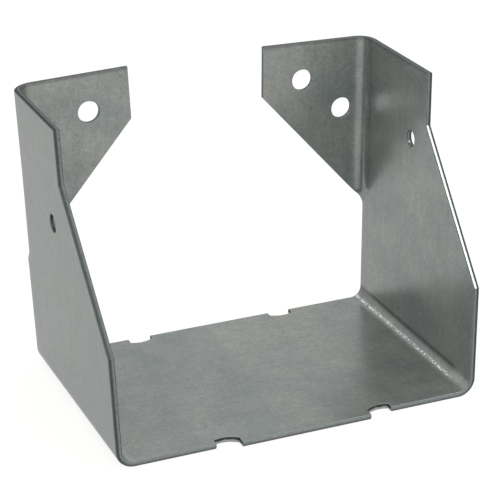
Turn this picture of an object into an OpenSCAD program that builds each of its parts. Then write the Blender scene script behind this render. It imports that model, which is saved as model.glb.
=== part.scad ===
// Face-mount joist hanger with concealed flanges: one folded sheet of galvanised steel.
// The seat's underside is z = 0 and the joist enters from -y. The sub-parts are drawn with the mounting
// plane of the flanges at y = 0, and the whole is then moved to stand over the middle of its base.

/* [Joist pocket] */
// Clear width between the side walls, just above the seat
pocket_width = 90.5; // [60:0.5:140]
// From the mounting plane to the front edge of the side walls
side_depth = 65.5; // [55:0.5:100]
// From the seat's underside to the top of the side walls
side_height = 75; // [72:0.5:120]

/* [Sheet] */
// Thickness of the sheet
sheet = 1.5; // [1:0.1:2.5]
// Inside radius of the bends between seat and side walls
seat_bend = 3; // [1:0.25:5]
// Inside radius of the bends between side walls and flanges
flange_bend = 4; // [1:0.25:5]
// How far each side opens outwards from square, in degrees
flare = 1.6; // [0:0.1:3]

/* [Side walls] */
// Depth of the narrow upper part of a side wall, from the mounting plane
top_depth = 37; // [34:0.5:50]
// Height at which the front edge starts to slope back
slope_start = 28.7; // [20:0.1:45]
// How far the raw back edge stays in front of the mounting plane
back_setback = 2; // [0.5:0.1:4]

/* [Flanges] */
// Width of a flange, from the outside of the side wall to its free edge
flange_width = 30.4; // [28:0.2:38]
// Length of the upright free edge of a flange
free_edge = 13.6; // [12:0.1:18]
// Height at which the sloping lower edge of a flange reaches the bend
chamfer_low = 34.1; // [31:0.1:42]

/* [Nail holes] */
// Diameter of the two holes in each flange
face_hole = 5.6; // [4:0.1:6.5]
// From the free edge to the upper hole
face_hole_inset = 11; // [9:0.1:13]
// From the top edge down to the upper hole
face_hole_drop = 10; // [7:0.1:12]
// Sideways step from the upper hole to the lower hole
face_step_across = 11.3; // [9:0.1:12]
// Downward step from the upper hole to the lower hole
face_step_down = 8.9; // [8:0.1:10]
// Diameter of the hole in each side wall
joist_hole = 4.3; // [3.5:0.1:5.5]
// From the mounting plane to the holes in the side walls
joist_hole_depth = 29; // [20:0.5:30]
// Height of the hole in the right side wall
joist_hole_height = 55.5; // [54:0.5:66]
// How much lower the hole in the left side wall is, so that the nails miss each other
joist_stagger = 6.6; // [5:0.1:12]

/* [Seat] */
// Width of the four notches in the seat's edges
notch_width = 6; // [5:0.1:7]
// Depth of the notches in the front edge, at their middle
front_notch = 2.2; // [1.8:0.1:4]
// Depth of the notches in the back edge, at their middle
back_notch = 2.8; // [1.8:0.1:4]
// From the middle of the seat to the left pair of notches
notch_left = 18.8; // [14:0.1:22]
// From the middle of the seat to the right pair of notches
notch_right = 20.6; // [14:0.1:22]
// How far the seat's front edge stands forward between the notches
lip = 1.6; // [0:0.1:3]

/* [Hidden] */
$fn = 96;

// The flare, rounded so that its cosine has six digits and the turned faces meet the seat exactly
turn = acos(round(cos(flare) * 1000000) / 1000000);

// Places that follow from the sizes above
seat_outer = seat_bend + sheet;
trim = seat_outer + sheet;
flange_outer = flange_bend + sheet;
inner_face = pocket_width / 2;
outer_face = inner_face + sheet;
bend_line = inner_face - seat_bend;
wall_length = side_depth - back_setback;
shoulder = side_height - free_edge;
free_x = outer_face - flange_width;
flange_line = outer_face - flange_outer;
chamfer_slope = (shoulder - chamfer_low) / (flange_line - free_x);
strip_top = chamfer_low - chamfer_slope * flange_bend;
bend_start = strip_top + flange_outer - back_setback;
upper_hole_x = free_x + face_hole_inset;
upper_hole_z = side_height - face_hole_drop;
lower_hole_x = upper_hole_x + face_step_across;
lower_hole_z = upper_hole_z - face_step_down;
notch_arc = notch_width * 0.9;
notch_cut = front_notch + back_notch + lip;
middle = (side_depth + lip) / 2;
metal = [0.66, 0.68, 0.67];

// One notch with an arched bottom, cut downwards from its bottom at the origin
module notch_outline() {
    intersection() {
        translate([-notch_width / 2, -notch_cut]) square([notch_width, notch_cut]);
        translate([0, -notch_arc]) circle(r = notch_arc);
    }
}

// Flat bottom of the pocket, with a lip in front and two notches in each edge
module seat() {
    front = -side_depth + front_notch;
    back = -back_setback - back_notch;
    color(metal)
    linear_extrude(sheet)
    difference() {
        union() {
            translate([-bend_line, -side_depth]) square([2 * bend_line, wall_length]);
            translate([-notch_left, -side_depth - lip]) square([notch_left + notch_right, lip + sheet]);
        }
        translate([-notch_left, front]) notch_outline();
        translate([notch_right, front]) notch_outline();
        translate([-notch_left, back]) rotate(180) notch_outline();
        translate([notch_right, back]) rotate(180) notch_outline();
    }
}

// Half a turn of sheet about the right seat bend, from which side() cuts away what lies over the seat
module seat_corner() {
    translate([bend_line, -back_setback, seat_outer])
    rotate([90, 0, 0])
    rotate([0, 0, 180])
    rotate_extrude(angle = 180)
    translate([seat_bend, 0]) square([sheet, wall_length]);
}

// Core of the sheet where the flat seat runs into the right bend
module seat_root() {
    translate([bend_line - sheet / 2, sheet - side_depth, sheet / 4])
    cube([sheet, wall_length - 2 * sheet, sheet / 2]);
}

// Right side wall, flange bend and flange, seen from above
module side_plan() {
    translate([inner_face, -side_depth]) square([sheet, side_depth - flange_outer]);
    intersection() {
        translate([flange_line, -flange_outer])
        difference() {
            circle(r = flange_outer);
            circle(r = flange_bend);
        }
        translate([flange_line, -flange_outer]) square([flange_outer, flange_outer]);
    }
    translate([free_x, -sheet]) square([flange_width - flange_outer, sheet]);
}

// Right side before it is turned out: the wall slopes back in front, and the flange's lower edge slopes
// down to the bend, which ends above the raw back edge of the wall
module side_sheet() {
    intersection() {
        translate([0, 0, seat_outer]) linear_extrude(side_height - seat_outer) side_plan();
        translate([0, sheet, 0])
        rotate([90, 0, 0])
        linear_extrude(side_depth + 2 * sheet)
        polygon([
            [inner_face, 0],
            [inner_face, strip_top],
            [flange_line, chamfer_low],
            [free_x, shoulder],
            [free_x, side_height],
            [outer_face + sheet, side_height],
            [outer_face + sheet, 0]
        ]);
        rotate([90, 0, 90])
        linear_extrude(outer_face + sheet)
        polygon([
            [-side_depth, 0],
            [-side_depth, slope_start],
            [-top_depth, shoulder],
            [-top_depth, side_height],
            [sheet, side_height],
            [sheet, strip_top],
            [-back_setback, strip_top],
            [-flange_outer, bend_start],
            [-flange_outer, 0]
        ]);
    }
    translate([inner_face, 0, 0])
    rotate([90, 0, 90])
    linear_extrude(sheet)
    polygon([
        [-flange_outer - sheet, seat_outer],
        [-back_setback, seat_outer],
        [-back_setback, strip_top],
        [-flange_outer, bend_start],
        [-flange_outer - sheet, bend_start]
    ]);
}

// Two nail holes through the right flange
module face_holes() {
    for (place = [[upper_hole_x, upper_hole_z], [lower_hole_x, lower_hole_z]])
        translate([place[0], sheet, place[1]])
        rotate([90, 0, 0])
        cylinder(h = 3 * sheet, r = face_hole / 2);
}

// Right side turned out about its seat bend; the nail hole in the wall is at the given height
module side(hole_height) {
    color(metal) {
        difference() {
            translate([bend_line, 0, seat_outer])
            rotate([0, turn, 0])
            translate([-bend_line, 0, -seat_outer])
            difference() {
                union() {
                    seat_corner();
                    side_sheet();
                }
                face_holes();
                translate([inner_face - sheet, -joist_hole_depth, hole_height])
                rotate([0, 90, 0])
                cylinder(h = 3 * sheet, r = joist_hole / 2);
            }
            translate([bend_line, -side_depth - sheet, -sheet])
            mirror([1, 0, 0])
            cube([trim, side_depth + sheet, trim + sheet]);
        }
        seat_root();
    }
}

// The whole folded sheet
module hanger() {
    translate([0, middle, 0])
    union() {
        seat();
        side(joist_hole_height);
        mirror([1, 0, 0]) side(joist_hole_height - joist_stagger);
    }
}

hanger();
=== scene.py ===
import bpy
import math
from mathutils import Matrix, Vector


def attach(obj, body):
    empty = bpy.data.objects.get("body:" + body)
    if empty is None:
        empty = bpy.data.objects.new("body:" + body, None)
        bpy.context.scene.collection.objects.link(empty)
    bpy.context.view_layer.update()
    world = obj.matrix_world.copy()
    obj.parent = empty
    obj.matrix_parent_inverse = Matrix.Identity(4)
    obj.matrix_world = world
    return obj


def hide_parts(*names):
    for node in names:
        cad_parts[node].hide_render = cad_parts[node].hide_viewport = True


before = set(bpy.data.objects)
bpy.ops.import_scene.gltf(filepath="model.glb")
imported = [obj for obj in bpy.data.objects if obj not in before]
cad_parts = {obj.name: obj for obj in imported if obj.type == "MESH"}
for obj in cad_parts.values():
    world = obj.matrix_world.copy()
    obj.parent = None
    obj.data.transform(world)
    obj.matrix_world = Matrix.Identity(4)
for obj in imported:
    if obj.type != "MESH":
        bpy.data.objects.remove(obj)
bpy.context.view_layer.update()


# The hanger's blank: a flat piece of 1.5 mm zinc-coated steel, sheared to its outline on a press.
# It lies with its outer skin down, the seat in the middle and one side wall with its flange at
# either end, so that the folds further down turn both ends up and both flanges in.
mm = 0.001
thickness = 1.5 * mm
seat_inner_radius = 3 * mm
flange_inner_radius = 4 * mm
flare = math.radians(1.6)

bend_line = 42.25 * mm
seat_turn = math.pi / 2 - flare
seat_mid_radius = seat_inner_radius + thickness / 2
seat_bend_length = seat_mid_radius * seat_turn
seat_centre_height = seat_inner_radius + thickness

flange_fold = -5.5 * mm
flange_mid_radius = flange_inner_radius + thickness / 2
flange_bend_length = flange_mid_radius * math.pi / 2
flange_flat = 24.9 * mm

front_edge = -65.5 * mm
raw_back_edge = -2 * mm
free_edge = flange_fold + flange_bend_length + flange_flat
upper_front_edge = -37 * mm
wall_straight = 70.5 * mm
half_length = bend_line + seat_bend_length + wall_straight


def along_wall(height):
    """Distance from the middle of the flat blank to a height above the seat's underside."""
    return bend_line + seat_bend_length + height * mm - seat_centre_height


slope_bottom = along_wall(28.7)
shoulder = along_wall(61.4)
chamfer_end = along_wall(34.1)

# A point this close to a line counts as on it, and a cut this close to a corner goes through it
close = 0.01 * mm
hairline = 0.0001 * mm


def pick(kind, wanted):
    """Selects only those corners, edges or faces of the sheet whose middle passes the test."""
    bpy.ops.object.mode_set(mode="OBJECT")
    sheet = hanger.data
    for part in (sheet.vertices, sheet.edges, sheet.polygons):
        part.foreach_set("select", [False] * len(part))
    if kind == "VERT":
        for corner in sheet.vertices:
            corner.select = wanted(corner.co)
    elif kind == "EDGE":
        for edge in sheet.edges:
            start, end = (sheet.vertices[i].co for i in edge.vertices)
            edge.select = wanted((start + end) / 2)
    else:
        for face in sheet.polygons:
            face.select = wanted(face.center)
    modes = ("VERT", "EDGE", "FACE")
    bpy.context.tool_settings.mesh_select_mode = [mode == kind for mode in modes]
    bpy.ops.object.mode_set(mode="EDIT")


def shear(point, normal, wanted=lambda middle: True, drop=False):
    """Scores the chosen faces along a plane, and drops what lies on the side of its normal."""
    pick("FACE", wanted)
    bpy.ops.mesh.bisect(plane_co=point, plane_no=normal, threshold=hairline)
    if drop:
        outside = Vector(normal)
        pick(
            "FACE",
            lambda middle: wanted(middle) and (middle - Vector(point)).dot(outside) > 0,
        )
        bpy.ops.mesh.delete(type="FACE")


def one_face():
    """Heals the score lines, which leaves the flat sheet as one face."""
    bpy.ops.object.mode_set(mode="EDIT")
    bpy.ops.mesh.select_all(action="SELECT")
    bpy.ops.mesh.dissolve_limited(angle_limit=math.radians(1))
    bpy.ops.object.mode_set(mode="OBJECT")


bpy.ops.object.select_all(action="DESELECT")
bpy.ops.mesh.primitive_plane_add(size=1)
hanger = bpy.context.object
hanger.name = "folded_hanger"
bpy.ops.object.mode_set(mode="EDIT")
bpy.ops.transform.resize(value=(half_length, free_edge - front_edge, 1))
bpy.ops.transform.translate(value=(half_length / 2, (free_edge + front_edge) / 2, 0))

# The wall slopes back in front, and the flange's lower edge slopes down to the raw back edge
for height in (slope_bottom, shoulder):
    shear((height, 0, 0), (1, 0, 0))
shear((0, raw_back_edge, 0), (0, 1, 0))
shear(
    (slope_bottom, front_edge, 0),
    (upper_front_edge - front_edge, slope_bottom - shoulder, 0),
    lambda middle: slope_bottom < middle.x < shoulder,
    drop=True,
)
shear(
    (0, upper_front_edge, 0),
    (0, -1, 0),
    lambda middle: middle.x > shoulder,
    drop=True,
)
shear(
    (shoulder, free_edge, 0),
    (-flange_flat, shoulder - chamfer_end, 0),
    lambda middle: middle.y > raw_back_edge,
    drop=True,
)
one_face()

# The inside corner under the flange is rounded by the punch
corner_round = 2.2 * mm
pick("VERT", lambda place: abs(place.y - raw_back_edge) < close and place.x > slope_bottom)
bpy.ops.mesh.bevel(affect="VERTICES", offset=corner_round, segments=6)
bpy.ops.object.mode_set(mode="OBJECT")

mirror = hanger.modifiers.new("second_end", "MIRROR")
mirror.merge_threshold = close
bpy.ops.object.modifier_apply(modifier=mirror.name)
one_face()

# Between its notches the seat's front edge stands forward as a lip
notch_left = -18.9 * mm
notch_right = 20.7 * mm
lip = 1.6 * mm
for side in (notch_left, notch_right):
    shear((side, 0, 0), (1, 0, 0))
pick(
    "EDGE",
    lambda place: abs(place.y - front_edge) < close and notch_left < place.x < notch_right,
)
bpy.ops.mesh.extrude_region_move(TRANSFORM_OT_translate={"value": (0, -lip, 0)})
one_face()

wall = hanger.modifiers.new("sheet", "SOLIDIFY")
wall.thickness = thickness
wall.offset = 1
bpy.ops.object.modifier_apply(modifier=wall.name)


# The nail holes and the four notches: round punches go through the flat sheet, two through each
# flange and one through each side wall, and an arched punch nibbles each edge of the seat twice.
flange_hole = 5.6 * mm
high_flange_hole = (along_wall(65), free_edge - 11 * mm)
low_flange_hole = (along_wall(56.1), free_edge - 22.3 * mm)
joist_hole = 4.3 * mm
right_joist_hole = (along_wall(55.5), -29 * mm)
left_joist_hole = (along_wall(48.9), -29 * mm)
notch_width = 6 * mm
notch_arc = 5.4 * mm
front_bite = 2.3 * mm
back_bite = 2.8 * mm
punch_length = 6 * thickness


def punch(tool):
    """Takes a punch's shape out of the sheet, and puts the punch away."""
    hole = hanger.modifiers.new("hole", "BOOLEAN")
    hole.operation = "DIFFERENCE"
    hole.solver = "EXACT"
    hole.object = tool
    bpy.ops.object.select_all(action="DESELECT")
    bpy.context.view_layer.objects.active = hanger
    hanger.select_set(True)
    bpy.ops.object.modifier_apply(modifier=hole.name)
    shape = tool.data
    bpy.data.objects.remove(tool)
    bpy.data.meshes.remove(shape)


def round_punch(side, place, diameter):
    """A round punch on the left (-1) or right (1) half of the blank, at (along, across)."""
    along, across = place
    bpy.ops.object.select_all(action="DESELECT")
    bpy.ops.mesh.primitive_cylinder_add(
        vertices=64,
        radius=diameter / 2,
        depth=punch_length,
        location=(side * along, across, 0),
    )
    punch(bpy.context.object)


for side in (-1, 1):
    round_punch(side, high_flange_hole, flange_hole)
    round_punch(side, low_flange_hole, flange_hole)
round_punch(1, right_joist_hole, joist_hole)
round_punch(-1, left_joist_hole, joist_hole)


def edge_punch(middle, bottom, facing, lean):
    """An arched punch over the sheet's edge, with its crown, off centre by lean, at the bottom."""
    bpy.ops.object.select_all(action="DESELECT")
    bpy.ops.mesh.primitive_cylinder_add(
        vertices=96,
        radius=notch_arc,
        depth=punch_length,
        location=(middle + lean, bottom + facing * notch_arc, 0),
    )
    tool = bpy.context.object
    bpy.ops.object.mode_set(mode="EDIT")
    for side in (-1, 1):
        bpy.ops.mesh.select_all(action="SELECT")
        bpy.ops.mesh.bisect(
            plane_co=(middle + side * notch_width / 2, 0, 0),
            plane_no=(side, 0, 0),
            clear_outer=True,
            use_fill=True,
            threshold=hairline,
        )
    bpy.ops.object.mode_set(mode="OBJECT")
    punch(tool)


front_lean = 0.8 * mm
back_lean = 0.4 * mm
for middle, outwards in ((notch_left, -1), (notch_right, 1)):
    edge_punch(middle, front_edge + front_bite, -1, outwards * front_lean)
    edge_punch(middle, raw_back_edge - back_bite, 1, outwards * back_lean)

# The punch draws the outer skin over its edge, and leaves a much sharper edge on the inner skin
rolled_edge = 0.4 * mm
inner_share = 0.3
bpy.ops.object.mode_set(mode="EDIT")
bpy.context.tool_settings.mesh_select_mode = (False, True, False)
bpy.ops.mesh.select_all(action="DESELECT")
bpy.ops.mesh.edges_select_sharp(sharpness=math.radians(60))
bpy.ops.object.mode_set(mode="OBJECT")
rolling = hanger.data.attributes.new("bevel_weight_edge", "FLOAT", "EDGE")
for edge, weight in zip(hanger.data.edges, rolling.data):
    ends = [hanger.data.vertices[i].co.z for i in edge.vertices]
    if edge.select and max(ends) < thickness / 2:
        weight.value = 1
    elif edge.select and min(ends) > thickness / 2:
        weight.value = inner_share
roll = hanger.modifiers.new("rolled_edge", "BEVEL")
roll.width = rolled_edge
roll.segments = 3
roll.limit_method = "WEIGHT"
roll.use_clamp_overlap = False
bpy.ops.object.modifier_apply(modifier=roll.name)
hanger.data.attributes.remove(hanger.data.attributes["bevel_weight_edge"])

# Faces that lie flat keep their zinc, and those that stand are sheared and show bare steel. So does
# a rolled edge, until it lies nearly flat with the outer skin
zinc_slot, steel_slot = 0, 1
lowest_cut, highest_cut = -0.9, 0.5
for face in hanger.data.polygons:
    sheared = lowest_cut < face.normal.z < highest_cut
    face.material_index = steel_slot if sheared else zinc_slot


# The folds: the press turns the flanges in first and the side walls up after that, a little short
# of square, so that the pocket opens out. Each bend is scored into narrow strips and then curved.
bend_strips = 18
clear_of_seat = bend_line * 1.2
for side in (-1, 1):
    for strip in range(bend_strips + 1):
        place = bend_line + seat_bend_length * strip / bend_strips
        shear((side * place, 0, 0), (side, 0, 0))
for strip in range(bend_strips + 1):
    place = flange_fold + flange_bend_length * strip / bend_strips
    shear((0, place, 0), (0, 1, 0), lambda middle: abs(middle.x) > clear_of_seat)

# Below the flange its bend dies out in the raw back edge, over this span of the wall's height. A
# trace of it runs on down the edge
fade_low = along_wall(28.5)
fade_high = along_wall(33)
fade_rows = 16
faintest = 0.025
for side in (-1, 1):
    for row in range(fade_rows + 1):
        place = fade_low + (fade_high - fade_low) * row / fade_rows
        shear(
            (side * place, 0, 0),
            (side, 0, 0),
            lambda middle: middle.y > flange_fold and middle.x * side > 0,
        )

# The right flange's bend is tight, the left one opens out between these heights of the wall
opening_low = along_wall(34)
opening_high = along_wall(58)
opening_rows = 12
for row in range(1, opening_rows + 1):
    place = opening_low + (opening_high - opening_low) * row / opening_rows
    shear(
        (-place, 0, 0),
        (-1, 0, 0),
        lambda middle: middle.y > flange_fold and middle.x < 0,
    )

# Slivers are left where the scored lines cross the punched corners. They are closed up, and so are
# the corners in the middle of an edge that this leaves
bpy.ops.mesh.select_all(action="SELECT")
bpy.ops.mesh.dissolve_degenerate(threshold=close)
bpy.ops.mesh.select_mode(type="VERT")
bpy.ops.mesh.select_all(action="DESELECT")
bpy.ops.object.mode_set(mode="OBJECT")
edges_met = [0] * len(hanger.data.vertices)
for edge in hanger.data.edges:
    for corner in edge.vertices:
        edges_met[corner] += 1
for corner, count in zip(hanger.data.vertices, edges_met):
    corner.select = count == 2
bpy.ops.object.mode_set(mode="EDIT")
bpy.ops.mesh.dissolve_verts()
bpy.ops.object.mode_set(mode="OBJECT")


def ease(place, low, high):
    """Rises smoothly from 0 at low to 1 at high."""
    share = min(max((place - low) / (high - low), 0), 1)
    return share * share * (3 - 2 * share)


def bend_path(share, tightness, until):
    """Follows the sheet's middle through the flange's bend, up to that part of its length.

    Share is how much of the square turn is made. Tightness 0 gives an even arc, and 1 a bend that
    starts and ends softly and is tight in the middle.
    """
    steps = 80
    whole_turn = math.pi / 2 * share
    along_path = through = 0
    for step in range(steps):
        place = until * (step + 0.5) / steps
        turned = place + (ease(place, 0, 1) - place) * tightness
        along_path += math.cos(whole_turn * turned) * until / steps
        through += math.sin(whole_turn * turned) * until / steps
    turned = until + (ease(until, 0, 1) - until) * tightness
    return along_path, through, whole_turn * turned


def fold_flange(along, across, depth, tightness):
    """Place of a point of the flat wall after the flange is turned in."""
    beyond = across - flange_fold
    if beyond <= 0:
        return across, depth
    share = max(ease(along, fade_low, fade_high), faintest)
    square_length = flange_mid_radius / bend_path(1, tightness, 1)[0]
    length = flange_bend_length + (square_length - flange_bend_length) * share
    along_path, through, turn = bend_path(share, tightness, min(beyond / flange_bend_length, 1))
    straight = max(beyond - flange_bend_length, 0)
    off_middle = depth - thickness / 2
    return (
        flange_fold + length * along_path + straight * math.cos(turn) - off_middle * math.sin(turn),
        thickness / 2 + length * through + straight * math.sin(turn) + off_middle * math.cos(turn),
    )


def fold_wall(along, depth):
    """Place of a point of the flat blank after the side wall is turned up."""
    beyond = along - bend_line
    if beyond <= 0:
        return along, depth
    turn = min(beyond, seat_bend_length) / seat_mid_radius
    straight = max(beyond - seat_bend_length, 0)
    reach = seat_centre_height - depth
    return (
        bend_line + reach * math.sin(turn) + straight * math.cos(turn),
        seat_centre_height - reach * math.cos(turn) + straight * math.sin(turn),
    )


# Every point keeps its place on the flat blank, for the finish. The folded sheet then moves back,
# with the nailing faces of its flanges this far behind the origin
behind_origin = 33.55 * mm
flat_place = hanger.data.attributes.new("flat_place", "FLOAT_VECTOR", "POINT")
for corner, flat in zip(hanger.data.vertices, flat_place.data):
    along, across, depth = abs(corner.co.x), corner.co.y, corner.co.z
    flat.vector = corner.co
    side = 1 if corner.co.x > 0 else -1
    tightness = 1 if side > 0 else 1 - ease(along, opening_low, opening_high)
    across, depth = fold_flange(along, across, depth, tightness)
    along, depth = fold_wall(along, depth)
    corner.co = (side * along, across + behind_origin, depth)

bpy.ops.object.select_all(action="DESELECT")
hanger.select_set(True)
bpy.context.view_layer.objects.active = hanger
bpy.ops.object.shade_smooth_by_angle(angle=math.radians(35))
even = hanger.modifiers.new("even_shading", "WEIGHTED_NORMAL")
even.mode = "FACE_AREA"
even.weight = 90
even.keep_sharp = True
bpy.ops.object.modifier_apply(modifier=even.name)


# The finish: hot-dip zinc with a fine, barely visible spangle, faint rolling streaks and a cloudy
# tone. It was on the strip before the press work, so its pattern follows the flat blank.
zinc = bpy.data.materials.new("galvanised_zinc")
zinc.use_nodes = True
nodes, links = zinc.node_tree.nodes, zinc.node_tree.links
skin = nodes["Principled BSDF"]
skin.inputs["Metallic"].default_value = 0.5
skin.inputs["Specular Tint"].default_value = (0.85, 0.88, 0.88, 1)


def blank_place(nodes, links, stretch):
    """The point on the flat blank, with its pattern stretched along the three directions."""
    place = nodes.new("ShaderNodeAttribute")
    place.attribute_name = "flat_place"
    mapping = nodes.new("ShaderNodeMapping")
    mapping.inputs["Scale"].default_value = stretch
    links.new(place.outputs["Vector"], mapping.inputs["Vector"])
    return mapping.outputs["Vector"]


def blotches(nodes, links, place, scale, detail, roughness=0.5):
    """A soft noise of that many blotches to the metre."""
    noise = nodes.new("ShaderNodeTexNoise")
    noise.inputs["Scale"].default_value = scale
    noise.inputs["Detail"].default_value = detail
    noise.inputs["Roughness"].default_value = roughness
    links.new(place, noise.inputs["Vector"])
    return noise.outputs["Fac"]


def stops(nodes, links, value, points):
    """A ramp from a value to a colour or grey, given as (place, colour) pairs."""
    ramp = nodes.new("ShaderNodeValToRGB")
    while len(ramp.color_ramp.elements) < len(points):
        ramp.color_ramp.elements.new(0.5)
    for element, (position, colour) in zip(ramp.color_ramp.elements, points):
        element.position = position
        element.color = colour
    links.new(value, ramp.inputs["Fac"])
    return ramp.outputs["Color"]


def blend(nodes, links, kind, amount, first, second):
    """Mixes a colour with another one, or with a plain colour, by the given blend type."""
    mix = nodes.new("ShaderNodeMix")
    mix.data_type = "RGBA"
    mix.blend_type = kind
    if isinstance(amount, float):
        mix.inputs["Factor"].default_value = amount
    else:
        links.new(amount, mix.inputs["Factor"])
    links.new(first, mix.inputs["A"])
    if isinstance(second, tuple):
        mix.inputs["B"].default_value = second
    else:
        links.new(second, mix.inputs["B"])
    return mix.outputs["Result"]


def window(nodes, links, value, low, high):
    """Runs from 0 to 1 while the value goes from low to high, and stays there outside of them."""
    span = nodes.new("ShaderNodeMapRange")
    span.inputs["From Min"].default_value = low
    span.inputs["From Max"].default_value = high
    links.new(value, span.inputs["Value"])
    return span.outputs["Result"]


def calculate(nodes, links, operation, first, second=None):
    """One step of arithmetic on a value, with another value or a plain number."""
    step = nodes.new("ShaderNodeMath")
    step.operation = operation
    links.new(first, step.inputs[0])
    if isinstance(second, (int, float)):
        step.inputs[1].default_value = second
    elif second is not None:
        links.new(second, step.inputs[1])
    return step.outputs["Value"]


def grey(level):
    """A grey as a colour."""
    return (level, level, level, 1)


# The clouds carry the zinc's own colour, and the finer patterns only shade it
even_place = blank_place(nodes, links, (1, 1, 1))
rolled_place = blank_place(nodes, links, (0.12, 1, 1))
long_place = blank_place(nodes, links, (1, 0.55, 1))
clouds = blotches(nodes, links, long_place, 62, 2)
tone = stops(
    nodes,
    links,
    clouds,
    [
        (0.32, (0.227, 0.256, 0.254, 1)),
        (0.5, (0.262, 0.282, 0.275, 1)),
        (0.66, (0.301, 0.312, 0.294, 1)),
    ],
)
mottle = blotches(nodes, links, even_place, 210, 2)
mottle_tone = stops(nodes, links, mottle, [(0.3, grey(0.94)), (0.7, grey(1.06))])
spangle = blotches(nodes, links, even_place, 640, 4, 0.7)
spangle_tone = stops(
    nodes, links, spangle, [(0.3, (0.86, 0.87, 0.89, 1)), (0.7, (1.13, 1.13, 1.11, 1))]
)
streaks = blotches(nodes, links, rolled_place, 420, 3)
streak_tone = stops(nodes, links, streaks, [(0.3, grey(0.96)), (0.7, grey(1.04))])
grain = blotches(nodes, links, even_place, 2400, 1)
grain_tone = stops(nodes, links, grain, [(0.3, grey(0.9)), (0.7, grey(1.1))])
specks = blotches(nodes, links, even_place, 1100, 1)
speck_tone = stops(nodes, links, specks, [(0.7, grey(1)), (0.76, grey(0.7))])
for pattern in (mottle_tone, spangle_tone, streak_tone, grain_tone, speck_tone):
    tone = blend(nodes, links, "MULTIPLY", 1.0, tone, pattern)

# The press has cracked the zinc in the seat's bends. A fine bright line along the seat's side is
# partly the cracks and partly a painted highlight, and a painted shade darkens the band along the
# wall's side; both are on the inner skin only, and they stop short of the front.
axes = nodes.new("ShaderNodeSeparateXYZ")
links.new(even_place, axes.inputs["Vector"])
outwards = calculate(nodes, links, "ABSOLUTE", axes.outputs["X"])
bend_place = window(nodes, links, outwards, bend_line, bend_line + 1.25 * seat_bend_length)
inner_skin = window(nodes, links, axes.outputs["Z"], 0.7 * thickness, 0.9 * thickness)
sound_until = front_edge + 6.5 * mm
crack_and_shade_from = front_edge + 9 * mm
crack_and_shade_zone = window(nodes, links, axes.outputs["Y"], sound_until, crack_and_shade_from)
crack_and_shade_zone = calculate(nodes, links, "MULTIPLY", inner_skin, crack_and_shade_zone)
# Painted shade: the bend is darkened, most on the wall's side
bend_painted_shade = stops(
    nodes,
    links,
    bend_place,
    [
        (0.1, grey(0.95)),
        (0.3, grey(1)),
        (0.42, grey(0.84)),
        (0.64, grey(0.66)),
        (0.73, grey(0.46)),
        (0.8, grey(0.46)),
        (0.9, grey(1)),
    ],
)
tone = blend(nodes, links, "MULTIPLY", crack_and_shade_zone, tone, bend_painted_shade)
# Painted highlight along the seat's side of the bend, partly the bright zinc of the cracks
crack_and_glint_line = stops(
    nodes,
    links,
    bend_place,
    [(0.2, grey(0)), (0.25, grey(1)), (0.33, grey(1)), (0.39, grey(0))],
)
crackle = blotches(nodes, links, even_place, 1300, 3)
cracks = stops(nodes, links, crackle, [(0.46, grey(0)), (0.6, grey(1))])
crack_glint_marks = calculate(nodes, links, "MULTIPLY", crack_and_glint_line, cracks)
crack_glint_marks = calculate(nodes, links, "MULTIPLY", crack_glint_marks, crack_and_shade_zone)
fresh_zinc_glint = (0.8, 0.83, 0.83, 1)
tone = blend(nodes, links, "MIX", crack_glint_marks, tone, fresh_zinc_glint)

# On the inner skin a painted shade darkens the sheet along the sheared top edges
edge_shade_from = half_length - 0.9 * mm
edge_shade_to = half_length - 0.4 * mm
edge_painted_shade = window(nodes, links, outwards, edge_shade_from, edge_shade_to)
edge_painted_shade = calculate(nodes, links, "MULTIPLY", edge_painted_shade, inner_skin)
edge_shade_tone = stops(nodes, links, edge_painted_shade, [(0, grey(1)), (1, grey(0.66))])
tone = blend(nodes, links, "MULTIPLY", 1.0, tone, edge_shade_tone)

# The outer skin is painted darker than the inner one, as painted shade
outer_skin = window(nodes, links, axes.outputs["Z"], 0.3 * thickness, 0.1 * thickness)
outer_skin_shade = stops(nodes, links, outer_skin, [(0, grey(1)), (1, grey(0.75))])
tone = blend(nodes, links, "MULTIPLY", 1.0, tone, outer_skin_shade)
links.new(tone, skin.inputs["Base Color"])
sheen = stops(nodes, links, clouds, [(0.3, grey(0.25)), (0.7, grey(0.33))])
links.new(sheen, skin.inputs["Roughness"])
relief = nodes.new("ShaderNodeBump")
relief.inputs["Strength"].default_value = 0.15
relief.inputs["Distance"].default_value = 0.02 * mm
links.new(spangle, relief.inputs["Height"])
links.new(relief.outputs["Normal"], skin.inputs["Normal"])
hanger.data.materials.append(zinc)

# The sheared faces are bare steel: torn and dull through most of the thickness, and painted dark
# over the rolled edges, partly for the zinc drawn over them and partly as painted shade.
steel = bpy.data.materials.new("sheared_steel")
steel.use_nodes = True
nodes, links = steel.node_tree.nodes, steel.node_tree.links
skin = nodes["Principled BSDF"]
skin.inputs["Metallic"].default_value = 1
skin.inputs["Specular Tint"].default_value = (0.55, 0.57, 0.56, 1)
cut_place = blank_place(nodes, links, (1, 1, 1))
axes = nodes.new("ShaderNodeSeparateXYZ")
links.new(cut_place, axes.inputs["Vector"])
depth = window(nodes, links, axes.outputs["Z"], 0, thickness)
# The dark stops over the rolled edges are partly painted shade
tone = stops(
    nodes,
    links,
    depth,
    [
        (0.05, (0.149, 0.162, 0.162, 1)),
        (0.2, (0.074, 0.082, 0.082, 1)),
        (0.4, (0.074, 0.082, 0.082, 1)),
        (0.55, (0.167, 0.182, 0.183, 1)),
        (0.8, (0.211, 0.23, 0.232, 1)),
        (0.9, (0.087, 0.095, 0.096, 1)),
    ],
)
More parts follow.
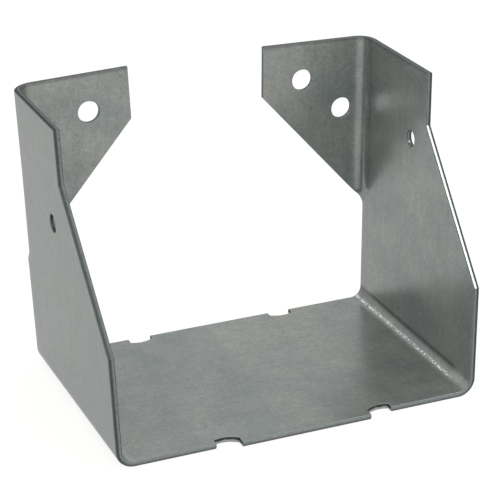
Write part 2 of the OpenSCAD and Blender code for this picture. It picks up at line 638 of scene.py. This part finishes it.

# The seat's front edge is cleaner, and its notches were punched from the other side, with a bright
# face under a painted shade along the upper edge
seat_tone = stops(
    nodes,
    links,
    depth,
    [
        (0.1, (0.118, 0.124, 0.128, 1)),
        (0.4, (0.155, 0.164, 0.169, 1)),
        (0.6, (0.223, 0.246, 0.251, 1)),
        (0.9, (0.248, 0.275, 0.28, 1)),
    ],
)
outwards = calculate(nodes, links, "ABSOLUTE", axes.outputs["X"])
on_wall = window(nodes, links, outwards, bend_line, bend_line + seat_bend_length)
tone = blend(nodes, links, "MIX", on_wall, seat_tone, tone)
ragged = blotches(nodes, links, cut_place, 700, 3)
ragged = window(nodes, links, ragged, 1.5, -0.5)
ragged = calculate(nodes, links, "MULTIPLY", ragged, depth)
# The dark stop along the notch's upper edge is painted shade
notch_face_and_shade = stops(
    nodes,
    links,
    ragged,
    [
        (0.03, (0.186, 0.198, 0.202, 1)),
        (0.1, (0.347, 0.372, 0.378, 1)),
        (0.2, (0.36, 0.384, 0.391, 1)),
        (0.27, (0.046, 0.05, 0.049, 1)),
    ],
)
notch_reach = notch_width / 2 + 0.1 * mm
for middle in (notch_left, notch_right):
    aside = calculate(nodes, links, "SUBTRACT", axes.outputs["X"], middle)
    aside = calculate(nodes, links, "ABSOLUTE", aside)
    past_notch = calculate(nodes, links, "GREATER_THAN", aside, notch_reach)
    tone = blend(nodes, links, "MIX", past_notch, notch_face_and_shade, tone)
tear = blotches(nodes, links, cut_place, 1600, 3)
tear_tone = stops(nodes, links, tear, [(0.3, grey(0.8)), (0.7, grey(1.1))])
tone = blend(nodes, links, "MULTIPLY", 1.0, tone, tear_tone)
links.new(tone, skin.inputs["Base Color"])
gloss = stops(
    nodes,
    links,
    depth,
    [
        (0.4, grey(0.55)),
        (0.5, grey(0.19)),
        (0.8, grey(0.19)),
        (0.88, grey(0.55)),
    ],
)
links.new(gloss, skin.inputs["Roughness"])
relief = nodes.new("ShaderNodeBump")
relief.inputs["Strength"].default_value = 0.1
relief.inputs["Distance"].default_value = 0.02 * mm
links.new(tear, relief.inputs["Height"])
links.new(relief.outputs["Normal"], skin.inputs["Normal"])
hanger.data.materials.append(steel)

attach(hanger, "root")
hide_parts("hanger")


# The stand and the light: a sheet of white paper in a white studio, which the metal shows as white
# too. A small softbox stands high in front on the right, and a large one in front on the left.
def shows_background(nodes, links):
    """1 for rays that show the background: the camera's, and what metal or glass passes on."""
    rays = nodes.new("ShaderNodeLightPath")
    camera_ray, glossy_ray = rays.outputs["Is Camera Ray"], rays.outputs["Is Glossy Ray"]
    seen = calculate(nodes, links, "MAXIMUM", camera_ray, glossy_ray)
    return calculate(nodes, links, "MAXIMUM", seen, rays.outputs["Is Transmission Ray"])


bpy.ops.object.select_all(action="DESELECT")
bpy.ops.mesh.primitive_plane_add(size=6)
floor = bpy.context.object
floor.name = "studio_floor"
paper = bpy.data.materials.new("white_paper")
paper.use_nodes = True
nodes, links = paper.node_tree.nodes, paper.node_tree.links
matt = nodes["Principled BSDF"]
matt.inputs["Base Color"].default_value = grey(0.9)
matt.inputs["Roughness"].default_value = 1
matt.inputs["Specular IOR Level"].default_value = 0
glow = nodes.new("ShaderNodeEmission")
glow.inputs["Color"].default_value = grey(1)
glow.inputs["Strength"].default_value = 1.2
glow_share = 0.7
glowing = calculate(nodes, links, "MULTIPLY", shows_background(nodes, links), glow_share)
paper_mix = nodes.new("ShaderNodeMixShader")
links.new(glowing, paper_mix.inputs["Fac"])
links.new(matt.outputs["BSDF"], paper_mix.inputs[1])
links.new(glow.outputs["Emission"], paper_mix.inputs[2])
links.new(paper_mix.outputs["Shader"], nodes["Material Output"].inputs["Surface"])
floor.data.materials.append(paper)

world = bpy.data.worlds.new("studio")
bpy.context.scene.world = world
world.use_nodes = True
nodes, links = world.node_tree.nodes, world.node_tree.links
nodes["Background"].inputs["Color"].default_value = (1, 0.955, 0.875, 1)
nodes["Background"].inputs["Strength"].default_value = 0.635
white = nodes.new("ShaderNodeBackground")
white.inputs["Color"].default_value = grey(1)
white.inputs["Strength"].default_value = 1
sky = nodes.new("ShaderNodeMixShader")
links.new(shows_background(nodes, links), sky.inputs["Fac"])
links.new(nodes["Background"].outputs["Background"], sky.inputs[1])
links.new(white.outputs["Background"], sky.inputs[2])
links.new(sky.outputs["Shader"], nodes["World Output"].inputs["Surface"])

# Each softbox faces the inside of the right wall, from the given direction and distance
lit_point = Vector((46 * mm, -18 * mm, 45 * mm))
for name, towards, distance, size, power in (
    ("softbox_right", (0.4646, -0.4626, 0.7542), 1.2, 0.26, 1.6),
    ("softbox_left", (-0.25, -0.8, 0.545), 1.6, 1.0, 7.5),
):
    softbox = bpy.data.lights.new(name, "AREA")
    softbox.shape = "DISK"
    softbox.size = size
    softbox.energy = power
    box = bpy.data.objects.new(name, softbox)
    bpy.context.scene.collection.objects.link(box)
    towards = Vector(towards)
    box.location = lit_point + towards * distance
    box.rotation_euler = towards.to_track_quat("Z", "Y").to_euler()

# The camera: a long lens about half a metre off, in front on the left and looking down into the
# pocket, held very slightly tilted.
lens = bpy.data.cameras.new("camera")
camera = bpy.data.objects.new("camera", lens)
bpy.context.scene.collection.objects.link(camera)
lens.sensor_width = 36
lens.lens = 146.02
lens.clip_start = 0.01
turned_right = math.radians(21.681)
looking_down = math.radians(22.683)
tilted = math.radians(1.453)
camera.location = (-0.17001, -0.42895, 0.22784)
camera.rotation_euler = (
    Matrix.Rotation(-turned_right, 4, "Z")
    @ Matrix.Rotation(math.pi / 2 - looking_down, 4, "X")
    @ Matrix.Rotation(-tilted, 4, "Z")
).to_euler()
bpy.context.scene.camera = camera
bpy.context.scene.view_settings.view_transform = "Standard"
